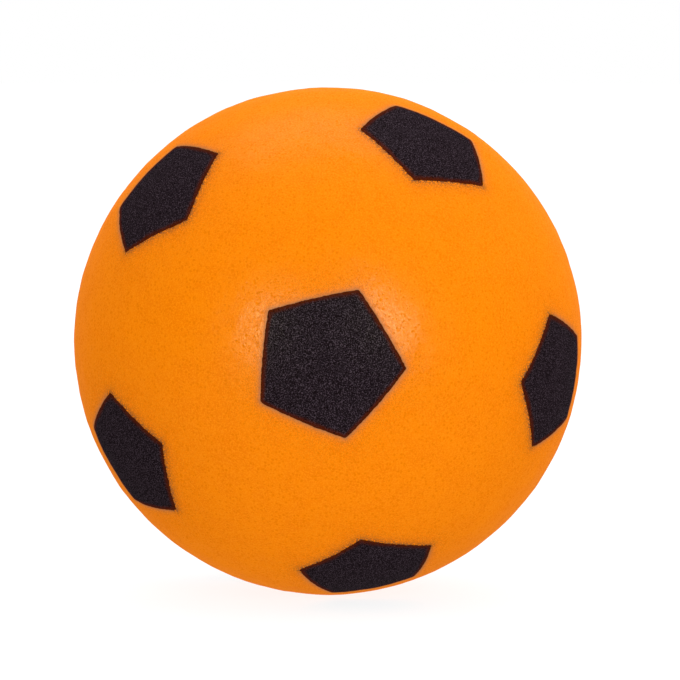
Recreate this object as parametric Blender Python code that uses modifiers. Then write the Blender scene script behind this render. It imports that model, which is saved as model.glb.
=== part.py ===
"""Soft foam football: a solid ball of fine-celled foam with twelve black pentagons sprayed on through a mask.

The mask covers half of the ball at a time. Each half has one pentagon at its pole and a ring of five round it,
so the twelve sit close to the corners of an icosahedron. The paint soaks into the open cells, and every
pentagon is modelled as that layer of paint-soaked foam, seated flush in a shallow pocket of the ball.

Metres, +Z up. The origin is the middle of the small flat that the soft foam settles into on a floor. The front
half's pole faces -Y.
"""

import math

import bmesh
import bpy
from mathutils import Matrix

# Driving dimensions, in metres
BALL_DIAMETER = 0.200
REST_FLAT_DIAMETER = 0.026
POLE_CORNER_REACH = 0.0297  # from a pole pentagon's middle to its corners, along the surface
RING_CORNER_REACH = 0.0274
POLE_EDGE_BOW = 0.0003  # how far the middle of an edge stands out from a straight one
RING_EDGE_BOW = 0.0003
PAINT_DEPTH = 0.0012
SEAT_GAP = 0.0003

# Holes of the mask, and how it sat on the ball, in degrees
PATTERN_SPIN = -7.6  # of the whole pattern about the front pole, anticlockwise from the front
POLE_TWIST = 2.7  # of a pole pentagon about its own middle
RING_TWIST = 1.3
WIDE_RING_TILT = 63.8  # from the pole to the middles of ring pentagons 1, 2 and 3
CLOSE_RING_TILT = 61.4  # to those of 4 and 5, whose holes lie a little closer to the pole

# Facets of the solids
BALL_STEPS = 64  # round the upright axis
ARC_SEGMENTS = 36  # from the top of the ball to the edge of its flat
EDGE_SEGMENTS = 5  # along one edge of a pentagon

# Colours, roughness
FOAM_ORANGE = (0.96, 0.25, 0.004)
FOAM_ROUGHNESS = 0.6
PAINT_BLACK = (0.013, 0.011, 0.013)
PAINT_ROUGHNESS = 0.75

SIDES = 5
SECTOR = 2 * math.pi / SIDES
RING_TILTS = 3 * [WIDE_RING_TILT] + 2 * [CLOSE_RING_TILT]
BALL_RADIUS = BALL_DIAMETER / 2
CENTRE_HEIGHT = math.sqrt(BALL_RADIUS**2 - (REST_FLAT_DIAMETER / 2) ** 2)


def clear_scene():
    for obj in list(bpy.data.objects):
        bpy.data.objects.remove(obj)


def new_collection(name):
    collection = bpy.data.collections.new(name)
    bpy.context.scene.collection.children.link(collection)
    return collection


def new_material(name, colour, roughness):
    material = bpy.data.materials.new(name)
    material.use_nodes = True
    shader = material.node_tree.nodes["Principled BSDF"]
    shader.inputs["Base Color"].default_value = (*colour, 1.0)
    shader.inputs["Roughness"].default_value = roughness
    shader.inputs["Metallic"].default_value = 0.0
    return material


def on_the_ball(point, reach, bow, radius):
    """Wraps a point of a flat pentagon, whose corners are 1 from its middle and one of them on +X, onto the ball.

    Straight lines become great circles. An edge then bows out by the given length at its middle.
    """
    if point.length < 1e-6:
        point.xyz = (0, 0, radius)
        return
    off_middle = (math.atan2(point.y, point.x) % SECTOR) - SECTOR / 2
    along_edge = math.tan(off_middle) / math.tan(SECTOR / 2)
    bulge = 1 + bow / (reach * math.cos(SECTOR / 2)) * (1 - along_edge**2)
    flat = point.xy * bulge * math.tan(reach / BALL_RADIUS)
    point.xyz = flat.to_3d()
    point.z = 1
    point.length = radius


def pentagon_layer(name, reach, bow, top, depth, smooth):
    """A pentagon of constant depth whose outer face lies at radius top, round the ball's middle and across +Z."""
    bm = bmesh.new()
    bmesh.ops.create_circle(bm, cap_ends=True, cap_tris=True, segments=SIDES, radius=1)
    corner = max(bm.verts, key=lambda v: v.co.y)
    turn = Matrix.Rotation(-math.atan2(corner.co.y, corner.co.x), 3, "Z")
    bmesh.ops.rotate(bm, verts=bm.verts, matrix=turn)
    bmesh.ops.subdivide_edges(bm, edges=bm.edges, cuts=EDGE_SEGMENTS - 1, use_grid_fill=True)
    bmesh.ops.triangulate(bm, faces=bm.faces)
    for vertex in bm.verts:
        on_the_ball(vertex.co, reach, bow, top)
    bmesh.ops.recalc_face_normals(bm, faces=bm.faces)
    mesh = bpy.data.meshes.new(name)
    bm.to_mesh(mesh)
    bm.free()
    if smooth:
        mesh.shade_smooth()
    layer = bpy.data.objects.new(name, mesh)
    shell = layer.modifiers.new("depth", "SOLIDIFY")
    shell.thickness = depth
    shell.offset = -1
    return layer


def pentagon_places():
    """(name, reach, bow, turn of the pentagon's +Z and +X from the front pole's) of all twelve pentagons."""
    halves = {"front": Matrix.Identity(4), "back": Matrix.Rotation(math.pi, 4, "Y")}
    pole_twist = Matrix.Rotation(math.radians(POLE_TWIST), 4, "Z")
    ring_twist = Matrix.Rotation(math.radians(RING_TWIST), 4, "Z")
    for half, turned in halves.items():
        yield f"pentagon_{half}_pole", POLE_CORNER_REACH, POLE_EDGE_BOW, turned @ pole_twist
        for k, tilt_degrees in enumerate(RING_TILTS):
            around = Matrix.Rotation(k * SECTOR, 4, "Z")
            tilt = Matrix.Rotation(math.radians(tilt_degrees), 4, "Y")
            corner_to_pole = Matrix.Rotation(math.pi, 4, "Z")
            turn = turned @ around @ tilt @ corner_to_pole @ ring_twist
            yield f"pentagon_{half}_ring_{k + 1}", RING_CORNER_REACH, RING_EDGE_BOW, turn


def make_pattern_centre(collection):
    """The empty that carries the pentagons: at the ball's middle, with +Z towards the front pole."""
    centre = bpy.data.objects.new("pattern_centre", None)
    faced_front = Matrix.Rotation(math.pi / 2, 4, "X")
    spun = Matrix.Rotation(math.radians(PATTERN_SPIN), 4, "Z")
    centre.matrix_world = Matrix.Translation((0, 0, CENTRE_HEIGHT)) @ faced_front @ spun
    collection.objects.link(centre)
    return centre


def make_pentagons(collection, centre, paint):
    for name, reach, bow, turn in pentagon_places():
        layer = pentagon_layer(name, reach, bow, BALL_RADIUS, PAINT_DEPTH, smooth=True)
        layer.data.materials.append(paint)
        layer.parent = centre
        layer.matrix_local = turn
        collection.objects.link(layer)


def make_pocket_cutters(collection, centre):
    """One for each pentagon, larger by the seat gap all round and standing out of the ball by the paint's depth."""
    for name, reach, bow, turn in pentagon_places():
        side_gap = SEAT_GAP / math.cos(SECTOR / 2)
        top = BALL_RADIUS + PAINT_DEPTH
        depth = 2 * PAINT_DEPTH + SEAT_GAP
        cutter = pentagon_layer(f"pocket_{name}", reach + side_gap, bow, top, depth, smooth=False)
        cutter.parent = centre
        cutter.matrix_local = turn
        cutter.hide_render = True
        cutter.display_type = "WIRE"
        collection.objects.link(cutter)


def ball_profile():
    """The ball's half section at +X: down the round side from the top to the flat, then in to the axis."""
    bm = bmesh.new()
    flat_angle = -math.acos(REST_FLAT_DIAMETER / BALL_DIAMETER)
    outline = []
    for k in range(ARC_SEGMENTS + 1):
        angle = math.pi / 2 + (flat_angle - math.pi / 2) * k / ARC_SEGMENTS
        outline.append((BALL_RADIUS * math.cos(angle), 0, CENTRE_HEIGHT + BALL_RADIUS * math.sin(angle)))
    outline.append((0, 0, 0))
    points = [bm.verts.new(co) for co in outline]
    for upper, lower in zip(points, points[1:]):
        bm.edges.new((upper, lower))
    mesh = bpy.data.meshes.new("foam_ball")
    bm.to_mesh(mesh)
    bm.free()
    return mesh


def make_ball(collection, cutters, foam):
    ball = bpy.data.objects.new("foam_ball", ball_profile())
    ball.data.materials.append(foam)
    collection.objects.link(ball)
    turn = ball.modifiers.new("turned_ball", "SCREW")
    turn.steps = BALL_STEPS
    turn.render_steps = BALL_STEPS
    turn.use_merge_vertices = True
    turn.merge_threshold = 0.00001
    turn.use_smooth_shade = True
    cut = ball.modifiers.new("pockets", "BOOLEAN")
    cut.operation = "DIFFERENCE"
    cut.operand_type = "COLLECTION"
    cut.collection = cutters


def main():
    clear_scene()
    parts = new_collection("foam_football")
    cutters = new_collection("cutters")
    foam = new_material("orange_foam", FOAM_ORANGE, FOAM_ROUGHNESS)
    paint = new_material("black_paint", PAINT_BLACK, PAINT_ROUGHNESS)
    centre = make_pattern_centre(parts)
    make_pocket_cutters(cutters, centre)
    make_ball(parts, cutters, foam)
    make_pentagons(parts, centre, paint)


main()
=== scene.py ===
# Soft foam football: a skin of fine foam cells with twelve sprayed pentagons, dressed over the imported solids
import math

import bmesh
import bpy
import numpy as np
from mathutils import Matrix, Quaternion, Vector


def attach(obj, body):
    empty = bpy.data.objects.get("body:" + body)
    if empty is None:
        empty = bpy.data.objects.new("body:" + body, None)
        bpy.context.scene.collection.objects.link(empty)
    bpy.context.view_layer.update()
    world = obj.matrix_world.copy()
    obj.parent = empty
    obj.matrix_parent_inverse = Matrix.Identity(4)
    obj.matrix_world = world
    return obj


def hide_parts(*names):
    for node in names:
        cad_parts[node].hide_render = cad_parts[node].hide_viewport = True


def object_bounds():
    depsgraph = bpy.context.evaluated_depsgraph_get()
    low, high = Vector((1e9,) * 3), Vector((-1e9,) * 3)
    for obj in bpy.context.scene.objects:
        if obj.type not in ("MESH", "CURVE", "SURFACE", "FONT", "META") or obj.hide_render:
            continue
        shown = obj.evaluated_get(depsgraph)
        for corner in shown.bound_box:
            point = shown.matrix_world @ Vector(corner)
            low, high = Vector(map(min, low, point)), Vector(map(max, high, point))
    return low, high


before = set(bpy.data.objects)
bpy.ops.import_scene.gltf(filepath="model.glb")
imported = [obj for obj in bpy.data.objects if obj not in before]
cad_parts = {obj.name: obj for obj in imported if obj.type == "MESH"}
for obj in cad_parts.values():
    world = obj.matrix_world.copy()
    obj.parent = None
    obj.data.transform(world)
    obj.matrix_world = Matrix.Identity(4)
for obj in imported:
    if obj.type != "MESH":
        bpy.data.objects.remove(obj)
cadLow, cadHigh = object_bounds()
scene = bpy.context.scene

mmPerMetre = 1000
ballRadius = (cadHigh.y - cadLow.y) / 2  # the pole pentagons stand on the full width, along y
ballCentre = np.array((0.0, 0.0, cadHigh.z - ballRadius))
print("frame loaded, ball", round(2 * ballRadius * mmPerMetre, 1), "mm across")


def unit(rows):
    return rows / np.linalg.norm(rows, axis=-1, keepdims=True)


def smooth(low, high, value):
    t = np.clip((value - low) / (high - low), 0, 1)
    return t * t * (3 - 2 * t)


# the pattern: each pentagon's middle and corners, read from its solid
sides = 5
pattern = {
    "paintDepth": 0.0012,  # how far the paint soaks in
    "seatGap": 0.0003,  # between the soaked layer and the plain foam under it
    "backShare": 0.985,  # width of a soaked layer's back against its face
    "cornersApart": math.radians(8),  # less than this is the same corner
    "edgeBow": 0.0003,  # how far the middle of an edge bows out
    "cornerRound": 0.0003,  # how softly one edge runs into the next
    "reachBlend": 0.0015,  # how softly one edge's spray runs into the next one's
    "crispReach": 1.0,  # mm of stray spray past an edge where the mask lay tight
    "crispMargin": 0.15,  # mm more than that, and an edge no longer counts as crisp
    "fuzzyReach": 1.6,  # mm past an edge that faces the pole, where the spray crept in
    "fuzzyFrom": -0.2,  # the spray starts to creep in at this cosine of an edge's turn to the pole
    "fuzzyFull": 0.7,
}


def turnRound(middle, points):
    # angles of the points round the middle, anticlockwise from outside
    aside = unit(np.array((0.31, 0.52, 0.79)))  # any direction that no pentagon faces
    east = unit(np.cross(middle, aside))
    north = np.cross(middle, east)
    return np.arctan2(points @ north, points @ east)


def readPentagon(name):
    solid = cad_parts[name].data
    points = np.array([v.co for v in solid.vertices]) - ballCentre
    outside = np.linalg.norm(points, axis=1) > ballRadius - pattern["paintDepth"] / 2
    skin = unit(points[outside])
    middle = unit(skin.mean(axis=0))
    corners = []
    for point in skin[np.argsort(skin @ middle)]:  # the furthest from the middle come first
        if all(point @ corner < math.cos(pattern["cornersApart"]) for corner in corners):
            corners.append(point)
    corners = np.array(corners[:sides])
    corners = corners[np.argsort(turnRound(middle, corners))]
    half, isPole = name.split("_")[1], name.endswith("pole")
    return {"name": name, "half": half, "isPole": isPole, "middle": middle, "corners": corners}


pentagons = [readPentagon(name) for name in sorted(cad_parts) if name.startswith("pentagon")]
middles = np.array([pentagon["middle"] for pentagon in pentagons])
poles = {pentagon["half"]: pentagon["middle"] for pentagon in pentagons if pentagon["isPole"]}
print("pattern read:", len(pentagons), "pentagons")


def edgePoints(pentagon, k, steps):
    # along edge k, on the plane that touches the ball at the middle
    a, b = pentagon["corners"][k], pentagon["corners"][(k + 1) % sides]
    a, b = a / (a @ pentagon["middle"]), b / (b @ pentagon["middle"])
    along = np.linspace(0, 1, steps + 1)[:, None]
    chord = a + (b - a) * along
    outward = chord - pentagon["middle"]
    inradius = np.linalg.norm((a + b) / 2 - pentagon["middle"]) * ballRadius
    bulge = 1 + pattern["edgeBow"] / inradius * (1 - (2 * along - 1) ** 2)
    return pentagon["middle"] + outward * bulge


def neighbourCorners(pentagon):
    # for each corner: half way to the neighbour it points at, and the point shared with the next neighbour
    middle = pentagon["middle"]
    near = middles[np.argsort(-(middles @ middle))[1:sides + 1]]
    near = near[np.argsort(turnRound(middle, near))]
    first = np.argmax(near @ pentagon["corners"][0])
    near = np.roll(near, -first, axis=0)
    halfWay = unit(middle + near)
    shared = unit(middle + near + np.roll(near, -1, axis=0))
    return halfWay, shared


# the skin: a fine even mesh with the slow lumps of moulded foam in it
foamSkin = {
    "edgeFaces": 48,  # faces along one pentagon edge
    "bandRows": 31,  # rows of faces from a pentagon out to its neighbours' rows
    "closeRows": 0.6,  # below 1 draws the rows in towards the pentagon
    "lumpWaves": 90,
    "lumpShortest": 0.0032,
    "lumpLongest": 0.045,
    "lumpHeight": 0.00007,
    "lumpFall": 0.6,  # above 0 makes the shorter lumps lower
    "lumpSeed": 11,
    "weldDistance": 2e-6,
    "sliverLength": 1e-7,  # shorter edges are taken out
    "sharpAngle": math.radians(50),
}


def makeLumps():
    draw = np.random.default_rng(foamSkin["lumpSeed"])
    count = foamSkin["lumpWaves"]
    directions = unit(draw.normal(size=(count, 3)))
    ratio = foamSkin["lumpLongest"] / foamSkin["lumpShortest"]
    lengths = foamSkin["lumpShortest"] * ratio ** draw.random(count)
    waves = directions * (2 * math.pi / lengths[:, None])
    heights = (lengths / foamSkin["lumpLongest"]) ** foamSkin["lumpFall"]
    heights *= foamSkin["lumpHeight"] / np.sqrt((heights**2).sum() / 2)
    return waves, draw.random(count) * 2 * math.pi, heights


lumps = makeLumps()


def onSkin(directions, depth=0.0):
    # points on the lumpy ball, or a depth below it, pressed flat where it rests
    directions = unit(directions)
    waves, phases, heights = lumps
    lift = np.sin(directions * ballRadius @ waves.T + phases) @ heights
    points = ballCentre + directions * (ballRadius + lift - depth)[..., None]
    points[..., 2] = np.maximum(points[..., 2], 0)
    return points


class MeshParts:
    def __init__(self):
        self.points = []
        self.faces = []
        self.count = 0

    def addGrid(self, grid):
        rows, columns = grid.shape[:2]
        at = self.count + np.arange(rows * columns).reshape(rows, columns)
        quads = np.stack((at[:-1, :-1], at[:-1, 1:], at[1:, 1:], at[1:, :-1]), axis=-1)
        self.addFaces(grid.reshape(-1, 3), quads.reshape(-1, 4).tolist())

    def addWedge(self, rows):
        # rows of 1, 2, 3 ... points that fan out from a tip
        starts = np.cumsum([0] + [len(row) for row in rows]) + self.count
        faces = []
        for r in range(len(rows) - 1):
            for c in range(r + 1):
                faces.append((starts[r] + c, starts[r + 1] + c, starts[r + 1] + c + 1))
                if c < r:
                    faces.append((starts[r] + c, starts[r + 1] + c + 1, starts[r] + c + 1))
        self.addFaces(np.concatenate(rows), faces)

    def addFaces(self, points, faces):
        self.points.append(points)
        self.faces += faces
        self.count += len(points)

    def build(self, name):
        mesh = bpy.data.meshes.new(name)
        mesh.from_pydata(np.concatenate(self.points).tolist(), [], self.faces)
        work = bmesh.new()
        work.from_mesh(mesh)
        bmesh.ops.remove_doubles(work, verts=work.verts, dist=foamSkin["weldDistance"])
        bmesh.ops.dissolve_degenerate(work, edges=work.edges, dist=foamSkin["sliverLength"])
        bmesh.ops.recalc_face_normals(work, faces=work.faces)
        work.to_mesh(mesh)
        work.free()
        mesh.shade_smooth()
        mesh.set_sharp_from_angle(angle=foamSkin["sharpAngle"])
        piece = bpy.data.objects.new(name, mesh)
        scene.collection.objects.link(piece)
        return piece


def fanRows(middle, edge):
    # two rows of points, for a fan of faces from the middle to the edge
    return np.stack((np.broadcast_to(middle, edge.shape), edge))


def buildBall():
    parts = MeshParts()
    faces, rows = foamSkin["edgeFaces"], foamSkin["bandRows"]
    step = np.linspace(0, 1, rows + 1)
    step = step * (foamSkin["closeRows"] + (1 - foamSkin["closeRows"]) * step)
    halfEdge = np.linspace(0, 1, faces // 2 + 1)[:, None]
    bedDepth = pattern["paintDepth"] + pattern["seatGap"]
    for pentagon in pentagons:
        halfWay, shared = neighbourCorners(pentagon)
        for k in range(sides):
            inner = unit(edgePoints(pentagon, k, faces))
            toShared = halfWay[k] + (shared[k] - halfWay[k]) * halfEdge
            onward = shared[k] + (halfWay[(k + 1) % sides] - shared[k]) * halfEdge
            outer = unit(np.concatenate((toShared, onward[1:])))
            parts.addGrid(onSkin(inner + (outer - inner) * step[:, None, None]))
            parts.addGrid(np.stack((onSkin(inner, bedDepth), onSkin(inner))))  # wall of the pentagon's bed
            parts.addGrid(onSkin(fanRows(pentagon["middle"], inner), bedDepth))  # and its floor
    return parts.build("foamBody")


def buildPentagon(pentagon):
    parts = MeshParts()
    faces = foamSkin["edgeFaces"]
    middle = pentagon["middle"]
    for k in range(sides):
        rows = [onSkin(middle[None, :])]
        for r in range(1, faces + 1):
            edge = edgePoints(pentagon, k, r)
            rows.append(onSkin(middle + (edge - middle) * r / faces))
        parts.addWedge(rows)
        rim = edgePoints(pentagon, k, faces)
        drawnIn = middle + (rim - middle) * pattern["backShare"]  # the layer narrows a little as it goes in
        parts.addGrid(np.stack((onSkin(rim), onSkin(drawnIn, pattern["paintDepth"]))))
        parts.addGrid(onSkin(fanRows(middle, drawnIn)[::-1], pattern["paintDepth"]))
    words = pentagon["name"].split("_")[1:]
    return parts.build("paint" + "".join(word.capitalize() for word in words))


def edgeReach(pentagon, outward):
    # how far stray spray reaches past an edge: further where the edge faces its half's pole
    if pentagon["isPole"]:
        return pattern["crispReach"]
    toPole = unit(poles[pentagon["half"]] - pentagon["middle"])
    share = smooth(pattern["fuzzyFrom"], pattern["fuzzyFull"], outward @ toPole)
    return pattern["crispReach"] + (pattern["fuzzyReach"] - pattern["crispReach"]) * share


def measureFrom(pentagon, directions):
    # signed distance from the outline, below zero inside it, and the reach of the edge that lies nearest
    gaps, reaches = [], []
    for k in range(sides):
        a, b = pentagon["corners"][k], pentagon["corners"][(k + 1) % sides]
        halfWay, along = unit(a + b), unit(b - a)
        outward = np.cross(along, halfWay)
        outward *= np.sign(outward @ (halfWay - pentagon["middle"]))
        t = np.arctan2(directions @ along, directions @ halfWay) / math.acos(a @ halfWay)
        bowed = pattern["edgeBow"] * np.clip(1 - t * t, 0, 1)
        gaps.append(np.arcsin(np.clip(directions @ outward, -1, 1)) * ballRadius - bowed)
        reaches.append(edgeReach(pentagon, outward))
    gaps = np.stack(gaps, axis=1)
    largest = gaps.max(axis=1, keepdims=True)
    rounded = np.exp((gaps - largest) / pattern["cornerRound"]).sum(axis=1)
    distance = largest[:, 0] + pattern["cornerRound"] * np.log(rounded)
    pastCorner = np.linalg.norm(np.maximum(gaps, 0), axis=1)
    shares = np.exp((gaps - largest) / pattern["reachBlend"])
    reach = shares @ np.array(reaches) / shares.sum(axis=1)
    return np.where(distance > 0, np.maximum(distance, pastCorner), distance), reach


def markSpray(piece):
    # distance from the nearest pentagon's edge, and how far its spray strays, both in mm
    mesh = piece.data
    directions = unit(np.array([v.co for v in mesh.vertices]) - ballCentre)
    nearest = np.argmax(directions @ middles.T, axis=1)
    distance, reach = np.zeros(len(directions)), np.zeros(len(directions))
    for i, pentagon in enumerate(pentagons):
        mine = nearest == i
        distance[mine], reach[mine] = measureFrom(pentagon, directions[mine])
    for label, values in (("edgeDistance", distance * mmPerMetre), ("sprayReach", reach)):
        layer = mesh.attributes.new(label, "FLOAT", "POINT")
        layer.data.foreach_set("value", values.astype(np.float32))


foamBody = buildBall()
markSpray(foamBody)
print("foam ball:", len(foamBody.data.polygons), "faces")
paintPieces = []
for pentagon in pentagons:
    piece = buildPentagon(pentagon)
    markSpray(piece)
    paintPieces.append(piece)
print("pentagons:", len(paintPieces), "pieces of", len(paintPieces[0].data.polygons), "faces")

# shader helpers
nodeLayout = {"column": 220, "row": 260, "perColumn": 4}
plainWhite = (1, 1, 1, 1)


def fillInputs(tree, item, inputs):
    for socket, value in inputs.items():
        if isinstance(value, bpy.types.NodeSocket):
            tree.links.new(value, item.inputs[socket])
        else:
            item.inputs[socket].default_value = value


def addNode(tree, kind, inputs=None, **settings):
    made = tree.nodes.new("ShaderNode" + kind)
    for label, value in settings.items():
        setattr(made, label, value)
    fillInputs(tree, made, inputs or {})
    return made


def addMath(tree, operation, first, second=0.0):
    return addNode(tree, "Math", {0: first, 1: second}, operation=operation).outputs[0]


def addRange(tree, value, low, high, toLow=0.0, toHigh=1.0):
    # smooth step from one pair of values to another
    inputs = {"Value": value, "From Min": low, "From Max": high, "To Min": toLow, "To Max": toHigh}
    return addNode(tree, "MapRange", inputs, interpolation_type="SMOOTHSTEP").outputs["Result"]


def addMix(tree, share, first, second):
    inputs = {0: share, 6: first, 7: second}
    return addNode(tree, "Mix", inputs, data_type="RGBA").outputs[2]


def addSteps(tree, position, size):
    # the position, counted in steps of a size
    perMetre = addMath(tree, "DIVIDE", 1.0, size)
    return addNode(tree, "VectorMath", {0: position, "Scale": perMetre}, operation="SCALE").outputs[0]


def addNoise(tree, position, scale, detail=1.0, roughness=0.5):
    inputs = {"Vector": position, "Scale": scale, "Detail": detail, "Roughness": roughness}
    return addNode(tree, "TexNoise", inputs).outputs


def newGroup(name, inputs, outputs):
    group = bpy.data.node_groups.new(name, "ShaderNodeTree")
    for label, socketType, value in inputs:
        socket = group.interface.new_socket(label, in_out="INPUT", socket_type=socketType)
        if value is not None:
            socket.default_value = value
    for label in outputs:
        group.interface.new_socket(label, in_out="OUTPUT", socket_type="NodeSocketFloat")
    return group, group.nodes.new("NodeGroupInput").outputs, group.nodes.new("NodeGroupOutput").inputs


def layOut(tree):
    # the nodes in columns, so that the tree can be read
    for i, item in enumerate(tree.nodes):
        column, row = divmod(i, nodeLayout["perColumn"])
        item.location = (nodeLayout["column"] * column, -nodeLayout["row"] * row)


def colour(red, green, blue):
    # the screen's 0 to 255, as Blender's linear colour (the usual curve of screens)
    def linear(c):
        c /= 255
        return c / 12.92 if c <= 0.04045 else ((c + 0.055) / 1.055) ** 2.4

    return (linear(red), linear(green), linear(blue), 1.0)


# foam cells: open pores, fine specks of skin that catch the light, and slow clouds of tone
cellShape = {  # scales are per cell
    "wanderScale": 0.8,
    "wander": (0.7, 0.7, 0.7),  # how far cells are pushed out of line
    "poreSizes": (0.5, 1.35),  # smallest and largest, against the width that a material sets
    "poreFade": (1.3, 0.6),  # from the rim of a pore to its floor, in widths
    "poreSink": 0.9,  # depth of a pore against the height of the grain
    "grainScale": 2.3,
    "speckFade": 0.1,
    "cloud": (0.16, 3.0),  # scale and detail
    "cloudFade": (0.36, 0.64),
}


def buildFoamCells():
    shape = cellShape
    group, given, result = newGroup(
        "foamCells",
        [
            ("Position", "NodeSocketVector", None),
            ("Cell Size", "NodeSocketFloat", 0.0014),
            ("Pore Width", "NodeSocketFloat", 0.25),
            ("Speck Level", "NodeSocketFloat", 0.53),
        ],
        ["Pores", "Specks", "Clouds", "Height"],
    )
    inCells = addSteps(group, given["Position"], given["Cell Size"])
    wander = addNoise(group, inCells, shape["wanderScale"])["Color"]
    bentBy = {0: wander, 1: shape["wander"], 2: inCells}
    bent = addNode(group, "VectorMath", bentBy, operation="MULTIPLY_ADD").outputs[0]
    cell = addNode(group, "TexVoronoi", {"Vector": bent, "Scale": 1.0}).outputs
    anySize = addNode(group, "SeparateColor", {0: cell["Color"]}).outputs[0]
    poreSize = addRange(group, anySize, 0.0, 1.0, *shape["poreSizes"])
    width = addMath(group, "MULTIPLY", given["Pore Width"], poreSize)
    pores = addRange(group, addMath(group, "DIVIDE", cell["Distance"], width), *shape["poreFade"])
    grain = addNoise(group, inCells, shape["grainScale"])["Fac"]
    speckFrom = addMath(group, "SUBTRACT", given["Speck Level"], shape["speckFade"])
    speckTo = addMath(group, "ADD", given["Speck Level"], shape["speckFade"])
    specks = addRange(group, grain, speckFrom, speckTo)
    cloud = addNoise(group, inCells, *shape["cloud"])["Fac"]
    clouds = addRange(group, cloud, *shape["cloudFade"])
    height = addMath(group, "SUBTRACT", grain, addMath(group, "MULTIPLY", pores, shape["poreSink"]))
    for label, value in (("Pores", pores), ("Specks", specks), ("Clouds", clouds), ("Height", height)):
        group.links.new(value, result[label])
    layOut(group)
    return group


# sprayed edge: solid cover with a ragged outline, a thin rim inside it, a mist of droplets outside it,
# single drops that drift further, and where the edge is crisp because the mask lay tight
sprayShape = {  # scales are per droplet, lengths in mm where nothing else is said
    "dropletSize": 0.0006,  # in metres
    "creep": 0.25,  # how far the paint crept under the mask
    "wobble": 0.85,  # how ragged the outline is, against its reach
    "waver": (0.33, 3.0, 0.65),  # scale, detail and roughness of the ragged outline
    "coverFade": 0.1,
    "rimWidth": 1.3,
    "rimFull": 0.2,  # inside the outline
    "rimScale": 0.06,
    "rimFade": (0.35, 0.65),
    "rimWidths": (-0.85, -1.15),  # narrowest and widest, inwards, against the rim's width
    "dropScale": 1.0,
    "dropFade": (0.36, 0.56),
    "evenMist": 0.85,  # where the mask lay tight the mist is an even line, painted as a pale highlight on the foam, and no single drops
    "drift": 8.0,  # single drops thin out over this length
    "singleScale": 1.6,
    "singleFade": (0.48, 0.62),
}


def addThinning(tree, outward, length):
    # 1 at the outline, and less and less outside it
    ratio = addMath(tree, "DIVIDE", outward, addMath(tree, "MULTIPLY", length, -1.0))
    return addMath(tree, "EXPONENT", ratio)


def buildSprayEdge():
    shape = sprayShape
    group, given, result = newGroup(
        "sprayEdge",
        [
            ("Position", "NodeSocketVector", None),
            ("Edge Distance", "NodeSocketFloat", 0.0),
            ("Reach", "NodeSocketFloat", pattern["crispReach"]),
            ("Droplet Size", "NodeSocketFloat", shape["dropletSize"]),
            ("Creep", "NodeSocketFloat", shape["creep"]),
            ("Wobble", "NodeSocketFloat", shape["wobble"]),
            ("Rim Width", "NodeSocketFloat", shape["rimWidth"]),
            ("Drift", "NodeSocketFloat", shape["drift"]),
        ],
        ["Cover", "Thin Rim", "Mist", "Drops", "Crisp"],
    )
    inDrops = addSteps(group, given["Position"], given["Droplet Size"])
    waver = addNoise(group, inDrops, *shape["waver"])["Fac"]
    shift = addMath(group, "MULTIPLY", addMath(group, "SUBTRACT", waver, 0.5), given["Reach"])
    shift = addMath(group, "MULTIPLY", shift, given["Wobble"])
    crept = addMath(group, "SUBTRACT", given["Edge Distance"], given["Creep"])
    ragged = addMath(group, "ADD", crept, shift)
    cover = addRange(group, ragged, shape["coverFade"], -shape["coverFade"])
    slow = addNoise(group, inDrops, shape["rimScale"])["Fac"]
    rimWidth = addMath(group, "ADD", given["Reach"], given["Rim Width"])
    inwards = addRange(group, slow, *shape["rimFade"], *shape["rimWidths"])
    rimStart = addMath(group, "MULTIPLY", rimWidth, inwards)
    thinRim = addRange(group, ragged, rimStart, -shape["rimFull"])
    outward = addMath(group, "MAXIMUM", ragged, 0.0)
    tight = pattern["crispReach"]
    crisp = addRange(group, given["Reach"], tight + pattern["crispMargin"], tight)
    drops = addRange(group, addNoise(group, inDrops, shape["dropScale"])["Fac"], *shape["dropFade"])
    drops = addMath(group, "MAXIMUM", drops, addMath(group, "MULTIPLY", crisp, shape["evenMist"]))
    mist = addMath(group, "MULTIPLY", addThinning(group, outward, given["Reach"]), drops)
    single = addRange(group, addNoise(group, inDrops, shape["singleScale"])["Fac"], *shape["singleFade"])
    single = addMath(group, "MULTIPLY", addThinning(group, outward, given["Drift"]), single)
    made = {"Cover": cover, "Thin Rim": thinRim, "Mist": mist, "Drops": single, "Crisp": crisp}
    for label, value in made.items():
        group.links.new(value, result[label])
    layOut(group)
    return group


foamCells = buildFoamCells()
sprayEdge = buildSprayEdge()


def startMaterial(name, look):
    # a Principled shader with the shared foam cells and sprayed edge beside it
    made = bpy.data.materials.new(name)
    made.use_nodes = True
    tree = made.node_tree
    shader = tree.nodes["Principled BSDF"]
    position = addNode(tree, "TexCoord").outputs["Object"]
    distance = addNode(tree, "Attribute", attribute_name="edgeDistance").outputs["Fac"]
    reach = addNode(tree, "Attribute", attribute_name="sprayReach").outputs["Fac"]
    cells = addNode(tree, "Group", node_tree=foamCells)
    fillInputs(tree, cells, {
        "Position": position,
        "Cell Size": look["cellSize"],
        "Pore Width": look["poreWidth"],
        "Speck Level": look["speckLevel"],
    })
    edge = addNode(tree, "Group", node_tree=sprayEdge)
    fillInputs(tree, edge, {"Position": position, "Edge Distance": distance, "Reach": reach})
    return made, tree, shader, cells.outputs, edge.outputs


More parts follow.
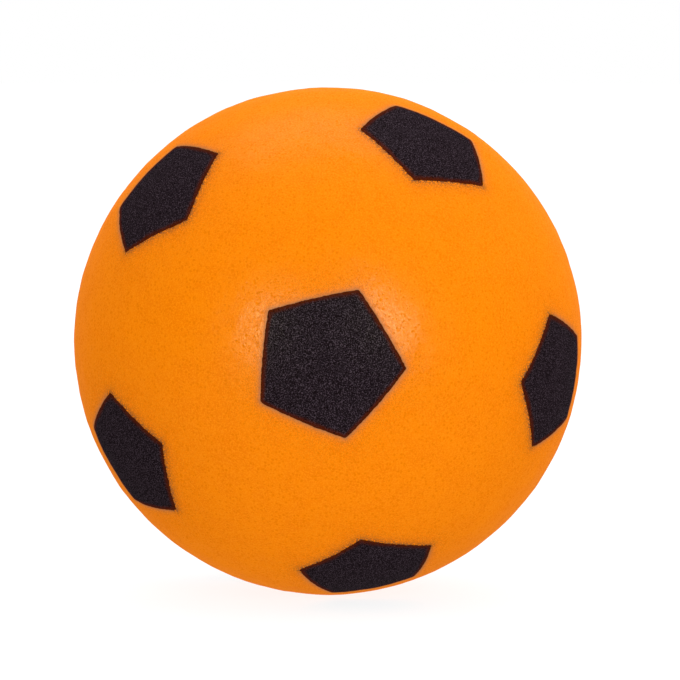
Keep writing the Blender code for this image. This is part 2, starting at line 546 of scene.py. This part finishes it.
def finishMaterial(tree, shader, cells, look, base, gloss):
    rough = addRange(tree, cells["Pores"], 0.0, 1.0, look["roughness"], look["poreRoughness"])
    bump = addNode(tree, "Bump", {
        "Height": cells["Height"],
        "Distance": look["bumpDepth"],
        "Strength": look["bumpStrength"],
    })
    fillInputs(tree, shader, {
        "Base Color": base,
        "Roughness": rough,
        "Coat Weight": gloss,
        "Coat Roughness": look["glossSpread"],
        "Coat IOR": look["glossIor"],
        "Specular IOR Level": 0.0,  # the coat alone reflects
        "Sheen Weight": look["sheen"],
        "Sheen Roughness": look["sheenSpread"],
        "Normal": bump.outputs["Normal"],
        "Coat Normal": bump.outputs["Normal"],
    })
    layOut(tree)


orangeFoam = {
    "cellSize": 0.00135,
    "poreWidth": 0.29,
    "speckLevel": 0.52,
    "tone": colour(243, 128, 0),
    "cloudTone": colour(240, 123, 0),
    # lighter specks of skin: partly the foam's own grain, partly painted glints
    "speckTone": colour(246, 135, 3),
    # painted shade: the open pores are darkened
    "poreTone": colour(235, 120, 0),
    "dropTone": colour(206, 108, 4),  # single drops that drifted further, soaked in
    "mistTone": colour(88, 66, 50),
    "pressedTone": colour(164, 108, 74),  # painted highlight: a pale line just outside a crisp edge
    "paintTone": colour(70, 22, 2),
    "roughness": 0.62,
    "poreRoughness": 0.95,
    "skinGloss": 0.022,  # coat weight of the skin between the specks
    "speckGloss": 0.062,
    "glossSpread": 0.28,
    "glossIor": 2.0,
    "sheen": 0.035,  # fuzz of cut cells, pale where the skin turns away
    "sheenSpread": 0.3,
    "bumpDepth": 0.00012,
    "bumpStrength": 0.45,
}


def makeOrangeFoam():
    look = orangeFoam
    made, tree, shader, cells, edge = startMaterial("orangeFoam", look)
    clouded = addMix(tree, cells["Clouds"], look["cloudTone"], look["tone"])
    # the specks are lightened, partly as painted glints
    specked = addMix(tree, cells["Specks"], clouded, look["speckTone"])
    # painted shade darkens the pores
    poreShaded = addMix(tree, cells["Pores"], specked, look["poreTone"])
    dropped = addMix(tree, edge["Drops"], poreShaded, look["dropTone"])
    # a crisp edge gets a painted highlight line in place of the dusky mist
    stray = addMix(tree, edge["Crisp"], look["mistTone"], look["pressedTone"])
    misted = addMix(tree, edge["Mist"], dropped, stray)
    base = addMix(tree, edge["Cover"], misted, look["paintTone"])
    speckGloss = addRange(tree, cells["Specks"], 0.0, 1.0, look["skinGloss"], look["speckGloss"])
    matt = addMath(tree, "MAXIMUM", cells["Pores"], edge["Mist"])
    matt = addMath(tree, "MAXIMUM", matt, edge["Cover"])
    gloss = addMath(tree, "MULTIPLY", speckGloss, addMath(tree, "SUBTRACT", 1.0, matt))
    finishMaterial(tree, shader, cells, look, base, gloss)
    return made


blackPaint = {
    "cellSize": 0.0009,
    "poreWidth": 0.22,
    "speckLevel": 0.58,
    "tone": colour(21, 14, 17),
    # painted shade: the open pores are darkened
    "poreTone": colour(10, 7, 8),
    # lighter specks: partly the paint's own grain, partly painted glints off the cell walls
    "speckTone": colour(68, 56, 64),
    "rimTone": colour(77, 25, 0),  # foam that shows through the thin paint
    "rimShow": 0.92,
    "bareTone": colour(226, 106, 0),  # foam that the spray missed
    "roughness": 0.55,
    "poreRoughness": 0.95,
    "skinGloss": 0.001,
    "speckGloss": 0.018,
    "glossSpread": 0.3,
    "glossIor": 2.0,
    "sheen": 0.01,
    "sheenSpread": 0.3,
    "bumpDepth": 0.00018,
    "bumpStrength": 0.5,
}


def makeBlackPaint():
    look = blackPaint
    made, tree, shader, cells, edge = startMaterial("blackPaint", look)
    # the specks are lightened, partly as painted glints
    specked = addMix(tree, cells["Specks"], look["tone"], look["speckTone"])
    rimShare = addMath(tree, "MULTIPLY", edge["Thin Rim"], look["rimShow"])
    rimmed = addMix(tree, rimShare, specked, look["rimTone"])
    # painted shade darkens the pores
    poreShaded = addMix(tree, cells["Pores"], rimmed, look["poreTone"])
    base = addMix(tree, edge["Cover"], look["bareTone"], poreShaded)
    speckGloss = addRange(tree, cells["Specks"], 0.0, 1.0, look["skinGloss"], look["speckGloss"])
    gloss = addMath(tree, "MULTIPLY", speckGloss, addMath(tree, "SUBTRACT", 1.0, rimShare))
    finishMaterial(tree, shader, cells, look, base, gloss)
    return made


foamBody.data.materials.append(makeOrangeFoam())
paintMaterial = makeBlackPaint()
for piece in paintPieces:
    piece.data.materials.append(paintMaterial)
print("materials done")

# each piece rides the one body and stands for its solid
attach(foamBody, "root")
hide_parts("foam_ball")
for pentagon, piece in zip(pentagons, paintPieces):
    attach(piece, "root")
    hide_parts(pentagon["name"])

# pale floor: a wide disc that shows the ball's shadow
floor = {
    "radius": 7.0,
    "rings": 6,
    "ringShare": 0.5,  # each ring against the one outside it
    "spokes": 48,
    "glow": 0.86,  # what the camera sees before any light falls on it
    "shown": 0.2,  # how much of that light it then shows
    "underGlow": 0.9,  # a lit table: it fills the underside of the ball
}


def buildFloor():
    work = bmesh.new()
    radius, spokes = floor["radius"], floor["spokes"]
    for _ in range(floor["rings"]):
        bmesh.ops.create_circle(work, segments=spokes, radius=radius)
        radius *= floor["ringShare"]
    points = list(work.verts)
    loops = [points[i * spokes:(i + 1) * spokes] for i in range(floor["rings"])]
    for outer, inner in zip(loops, loops[1:]):
        for i in range(spokes):
            j = (i + 1) % spokes
            work.faces.new((outer[i], outer[j], inner[j], inner[i]))
    work.faces.new(loops[-1])
    mesh = bpy.data.meshes.new("paleFloor")
    work.to_mesh(mesh)
    work.free()
    piece = bpy.data.objects.new("paleFloor", mesh)
    scene.collection.objects.link(piece)
    return piece


def makePaleFloor():
    made = bpy.data.materials.new("paleFloor")
    made.use_nodes = True
    tree = made.node_tree
    tree.nodes.remove(tree.nodes["Principled BSDF"])
    shownTone = (floor["shown"],) * 3 + (1,)
    glow = addNode(tree, "Emission", {"Color": plainWhite, "Strength": floor["glow"]}).outputs[0]
    shadowed = addNode(tree, "BsdfDiffuse", {"Color": shownTone}).outputs[0]
    shown = addNode(tree, "AddShader", {0: glow, 1: shadowed}).outputs[0]
    lit = addNode(tree, "Emission", {"Color": plainWhite, "Strength": floor["underGlow"]}).outputs[0]
    fromCamera = addNode(tree, "LightPath").outputs["Is Camera Ray"]
    both = addNode(tree, "MixShader", {0: fromCamera, 1: lit, 2: shown})
    tree.links.new(both.outputs[0], tree.nodes["Material Output"].inputs["Surface"])
    layOut(tree)
    return made


paleFloor = buildFloor()
paleFloor.data.materials.append(makePaleFloor())
paleFloor.visible_glossy = False  # matt foam shows the lamps, not the floor

# soft studio light: angles as seen from the ball, azimuth 0 towards the camera
lamps = {
    "leftStrip": {"azimuth": -31, "height": 7, "roll": -10, "size": (0.19, 0.72), "glow": 10.5},
    "rightStrip": {"azimuth": 26.5, "height": 15.5, "roll": 40, "size": (0.21, 0.92), "glow": 12.0},
    "frontSoftbox": {"azimuth": 2, "height": 12.5, "roll": 0, "size": (0.34, 0.3), "glow": 5.0},
    "topSoftbox": {"azimuth": 180, "height": 70, "roll": 0, "size": (1.36, 0.95), "glow": 1.05},
}
glints = {  # bare tubes in front of the soft lamps: they only show in the gloss
    "leftTube": {
        "azimuth": -25.5, "height": 11, "roll": -16, "size": (0.055, 0.62), "glow": 330.0,
        "tint": (1.0, 0.97, 0.54),  # a little warm, where the other lamps are white
    },
    "rightTube": {
        "azimuth": 25.5, "height": 13, "roll": 38, "size": (0.09, 0.7), "glow": 182.0,
        "tint": (1.0, 0.97, 0.6),
    },
    "frontTube": {"azimuth": 1, "height": 5, "roll": 0, "size": (0.3, 0.2), "glow": 19.0},
    "topTube": {"azimuth": 180, "height": 67, "roll": 0, "size": (1.36, 0.8), "glow": 4.2},
}
lampDistance = 1.5  # metres from the ball's middle


def addLamp(name, lamp, glint):
    azimuth, height = math.radians(lamp["azimuth"]), math.radians(lamp["height"])
    towards = Vector((
        math.sin(azimuth) * math.cos(height),
        -math.cos(azimuth) * math.cos(height),
        math.sin(height),
    ))
    light = bpy.data.lights.new(name, "AREA")
    light.shape = "RECTANGLE"
    light.size, light.size_y = lamp["size"]
    light.color = lamp.get("tint", plainWhite[:3])
    light.energy = lamp["glow"] * math.pi * light.size * light.size_y  # glow is brightness, 1 being white
    holder = bpy.data.objects.new(name, light)
    holder.location = Vector(ballCentre) + towards * lampDistance
    upright = towards.to_track_quat("Z", "Y")
    holder.rotation_euler = (upright @ Quaternion((0, 0, 1), math.radians(lamp["roll"]))).to_euler()
    holder.visible_camera = False
    holder.visible_diffuse = not glint
    holder.visible_glossy = glint
    scene.collection.objects.link(holder)


for name, lamp in lamps.items():
    addLamp(name, lamp, False)
for name, lamp in glints.items():
    addLamp(name, lamp, True)

# pale cloth all round, which the camera sees as white
tent = {
    "glow": 0.57,
    "backLift": 1.0,  # brighter behind the ball, darker round the camera
    "rightLift": 0.21,
    "topLift": 0.88,
}


def makeTent():
    world = bpy.data.worlds.new("paleTent")
    world.use_nodes = True
    tree = world.node_tree
    along = addNode(tree, "TexCoord").outputs["Generated"]
    split = addNode(tree, "SeparateXYZ", {0: along}).outputs
    around = tent["glow"]
    for axis, lift in (("X", "rightLift"), ("Y", "backLift"), ("Z", "topLift")):
        tilted = {0: split[axis], 1: tent[lift], 2: around}
        around = addNode(tree, "Math", tilted, operation="MULTIPLY_ADD").outputs[0]
    around = addMath(tree, "MAXIMUM", around, 0.0)
    lit = addNode(tree, "Background", {"Color": plainWhite, "Strength": around}).outputs[0]
    shown = addNode(tree, "Background", {"Color": plainWhite, "Strength": 1.0}).outputs[0]
    fromCamera = addNode(tree, "LightPath").outputs["Is Camera Ray"]
    both = addNode(tree, "MixShader", {0: fromCamera, 1: lit, 2: shown})
    tree.links.new(both.outputs[0], tree.nodes["World Output"].inputs["Surface"])
    tree.nodes.remove(tree.nodes["Background"])
    layOut(tree)
    return world


scene.world = makeTent()
scene.world.cycles_visibility.glossy = False
print("floor and lamps done")

# the camera looks at the ball's middle from a little above it
view = {
    "away": 1.9,
    "height": math.radians(4.7),
    "imageSize": 680,
    "ballRadiusPixels": 253.7,
    "ballPixel": (327.9, 341.0),
    "sensor": 36.0,
}


def addCamera():
    camera = bpy.data.cameras.new("photoView")
    holder = bpy.data.objects.new("photoView", camera)
    back = Vector((0, -math.cos(view["height"]), math.sin(view["height"])))
    holder.location = Vector(ballCentre) + back * view["away"]
    holder.rotation_euler = back.to_track_quat("Z", "Y").to_euler()
    seenSize = math.tan(math.asin(ballRadius / view["away"]))
    focal = view["ballRadiusPixels"] / seenSize
    camera.sensor_width = view["sensor"]
    camera.lens = focal * view["sensor"] / view["imageSize"]
    camera.shift_x = 0.5 - view["ballPixel"][0] / view["imageSize"]
    camera.shift_y = view["ballPixel"][1] / view["imageSize"] - 0.5
    scene.collection.objects.link(holder)
    scene.camera = holder


addCamera()
scene.view_settings.view_transform = "Standard"
